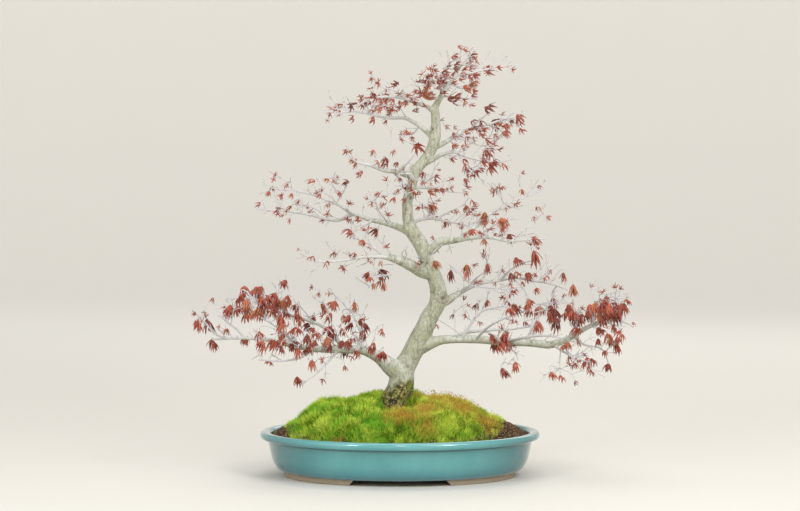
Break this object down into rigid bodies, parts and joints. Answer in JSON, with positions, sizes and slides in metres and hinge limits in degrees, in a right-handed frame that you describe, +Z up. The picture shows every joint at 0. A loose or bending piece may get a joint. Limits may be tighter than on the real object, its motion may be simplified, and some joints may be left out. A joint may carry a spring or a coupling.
{
  "type": "bonsai tree in a pot",
  "caption": "Small maple trained as a bonsai, with a curved trunk, tiered leafy limbs and mossed soil, in a low oval glazed pot on feet.",
  "frame": {"origin": "on the surface that the feet stand on, under the middle of the whole tree's outline", "axes": "+Z up, the tree faces -Y, +X to the right as seen from its front"},
  "size_m": [0.7078, 0.3378, 0.6971],
  "materials": {
    "glaze": "glossy blue-green glaze, bare clay feet",
    "screen": "dark moulded mesh",
    "soil": "loose brown grit",
    "moss": "tall soft moss, yellow-green with russet stalks",
    "bark": "smooth pale grey-green bark, rough and dark at the foot",
    "leaves": "thin young red leaves on pale twigs"
  },
  "bodies": {
    "root": {"pot": "glaze", "drain_screen_left": "screen", "drain_screen_right": "screen", "soil": "soil", "moss_left": "moss", "moss_right": "moss", "trunk": "bark", "limb_low_left": "leaves", "limb_low_right": "leaves", "limb_lower_right": "leaves", "limb_middle_left": "leaves", "limb_middle_right": "leaves", "limb_upper_left": "leaves", "limb_back": "leaves", "limb_upper_back": "leaves", "limb_high_left": "leaves", "limb_high_right": "leaves", "limb_top_right": "leaves", "limb_top_left": "leaves", "limb_crown_left": "leaves", "limb_crown": "leaves"}
  },
  "joints": []
}
